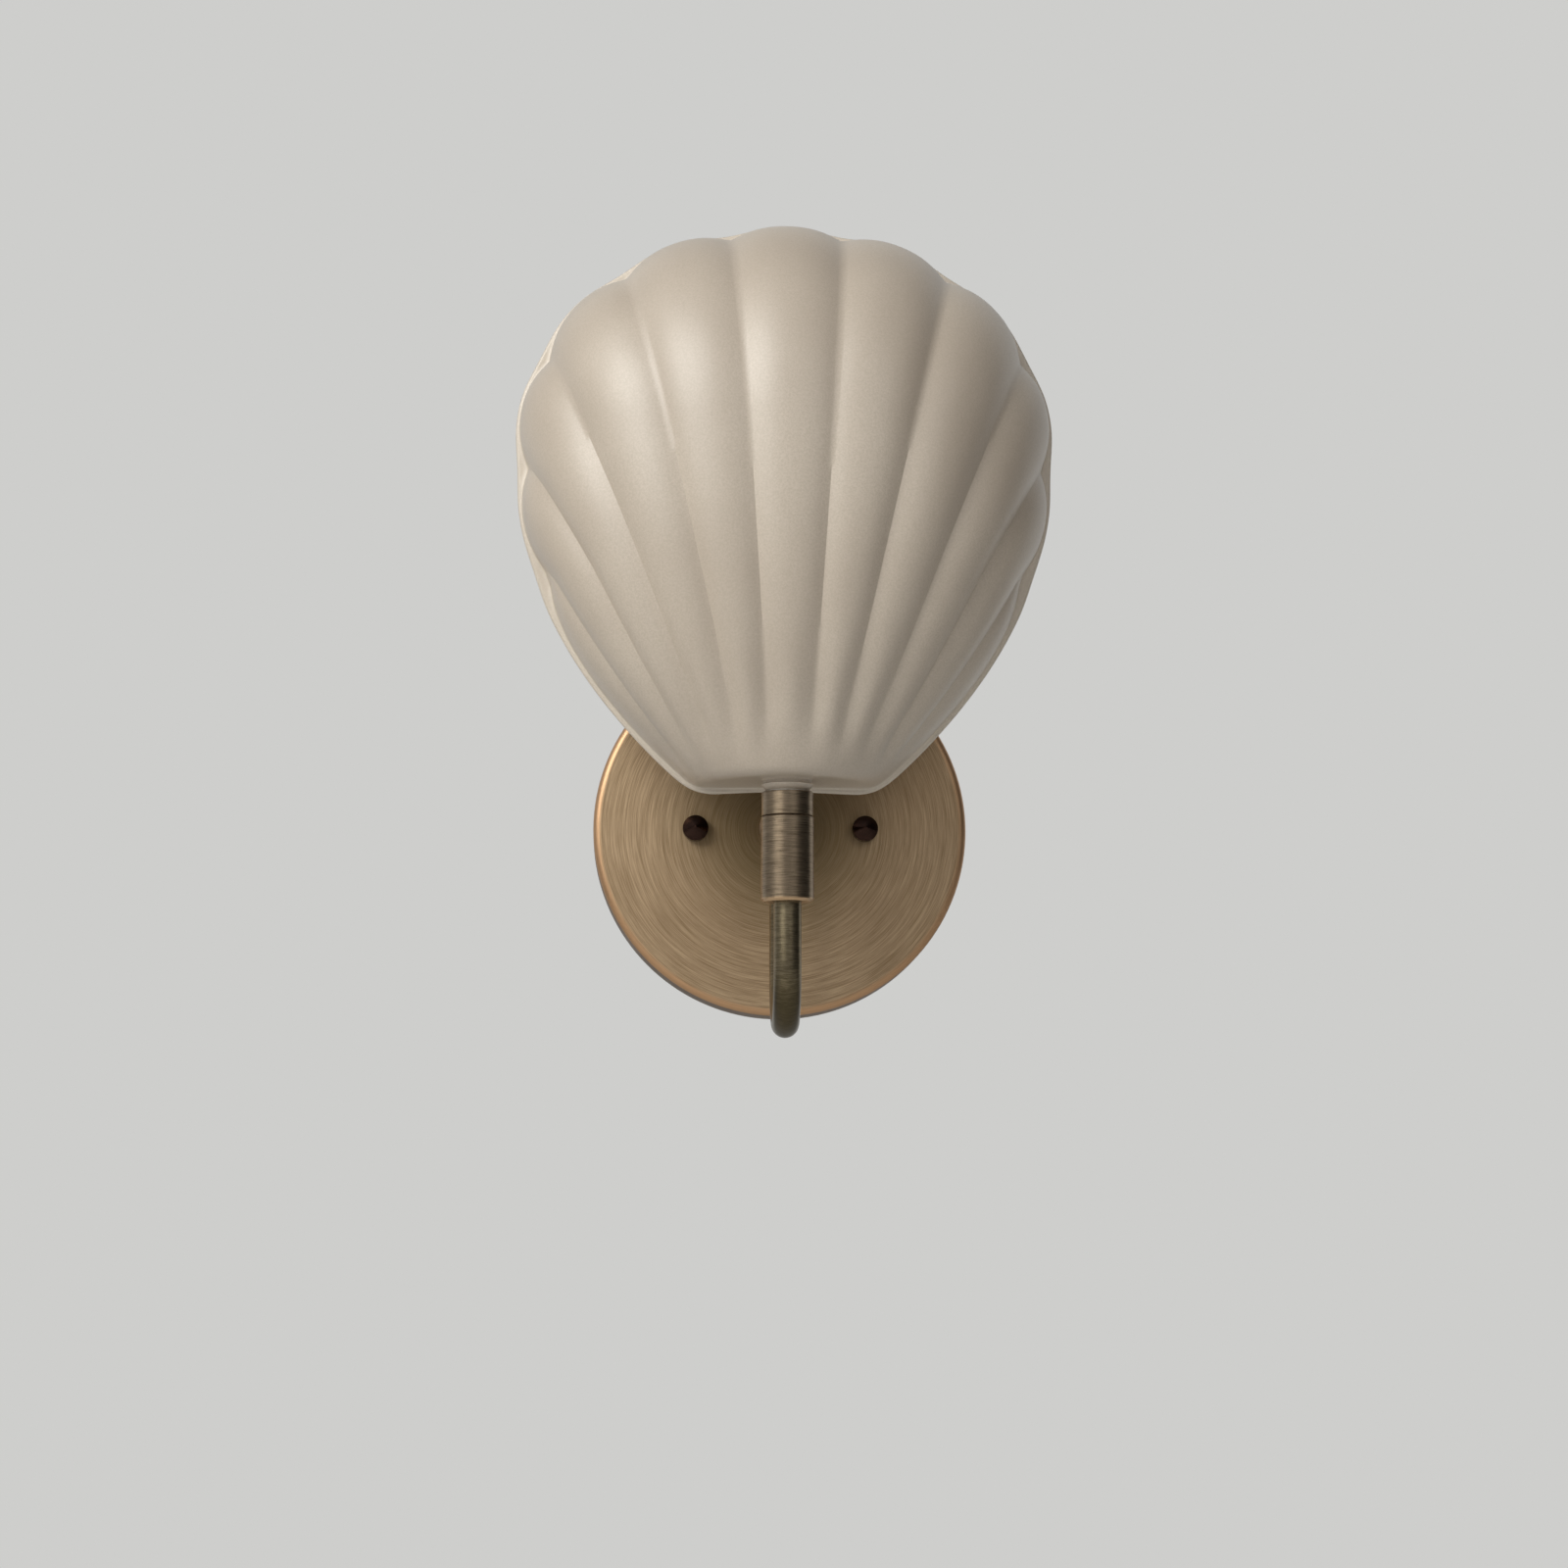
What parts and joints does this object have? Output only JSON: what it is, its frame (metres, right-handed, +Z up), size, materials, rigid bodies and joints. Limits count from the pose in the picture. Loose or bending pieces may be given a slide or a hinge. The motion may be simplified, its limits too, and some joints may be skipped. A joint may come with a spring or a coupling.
{
  "type": "shell wall sconce",
  "caption": "Wall light with a fluted shell shade of frosted glass, carried upright on a bent brass arm from a round brushed wall plate.",
  "frame": {"origin": "middle of the canopy's back, on the wall, which is also the middle of the crossbar's two wall slots", "axes": "+Z up, the wall is the plane Y = 0 and the lamp stands out towards -Y, +X to the right seen from the front"},
  "size_m": [0.1884, 0.1287, 0.2864],
  "materials": {
    "wall_brass": "antique brass, brushed in circles",
    "arm_brass": "dark antique brass, brushed along the tube",
    "socket_brass": "antique brass, brushed round",
    "dark_bronze": "blackened, satin",
    "zinc_steel": "zinc plated",
    "green_screw": "green lacquer",
    "gasket": "pale silicone",
    "frosted_glass": "satin frosted, cream",
    "white_ceramic": "unglazed white",
    "contact_brass": "bare brass",
    "pin_steel": "nickel plated",
    "bulb_plastic": "white",
    "bulb_cover": "milky, diffusing",
    "led_board": "white board with yellow chips"
  },
  "bodies": {
    "wall_part": {"canopy": "wall_brass", "cap_nuts": "dark_bronze", "arm_collar": "arm_brass", "arm_tube": "arm_brass", "socket_barrel": "socket_brass", "crossbar": "zinc_steel", "canopy_studs": "zinc_steel", "stud_nuts": "zinc_steel", "ground_screw": "green_screw", "arm_washer": "zinc_steel", "arm_locknut": "zinc_steel", "barrel_nut": "zinc_steel"},
    "shade": {"shade_ring": "socket_brass", "nipple": "zinc_steel", "lower_gasket": "gasket", "upper_gasket": "gasket", "clamp_washer": "socket_brass", "clamp_nut": "socket_brass", "glass_shell": "frosted_glass", "holder_bracket": "zinc_steel", "holder_nut": "zinc_steel", "lampholder": "white_ceramic", "holder_screws": "zinc_steel", "contacts": "contact_brass"},
    "bulb": {"bulb_pins": "pin_steel", "bulb_base": "bulb_plastic", "bulb_cover": "bulb_cover", "led_stick": "led_board"}
  },
  "joints": [
    {"name": "shade_turn", "type": "hinge", "parent": "wall_part", "child": "shade", "pos_m": [0, -0.085, 0], "axis": [0, 0, 1], "range_deg": [-18, 18]},
    {"name": "bulb_pull", "type": "slide", "parent": "shade", "child": "bulb", "axis": [0, 0, 1], "range_m": [0, 0.009]}
  ]
}
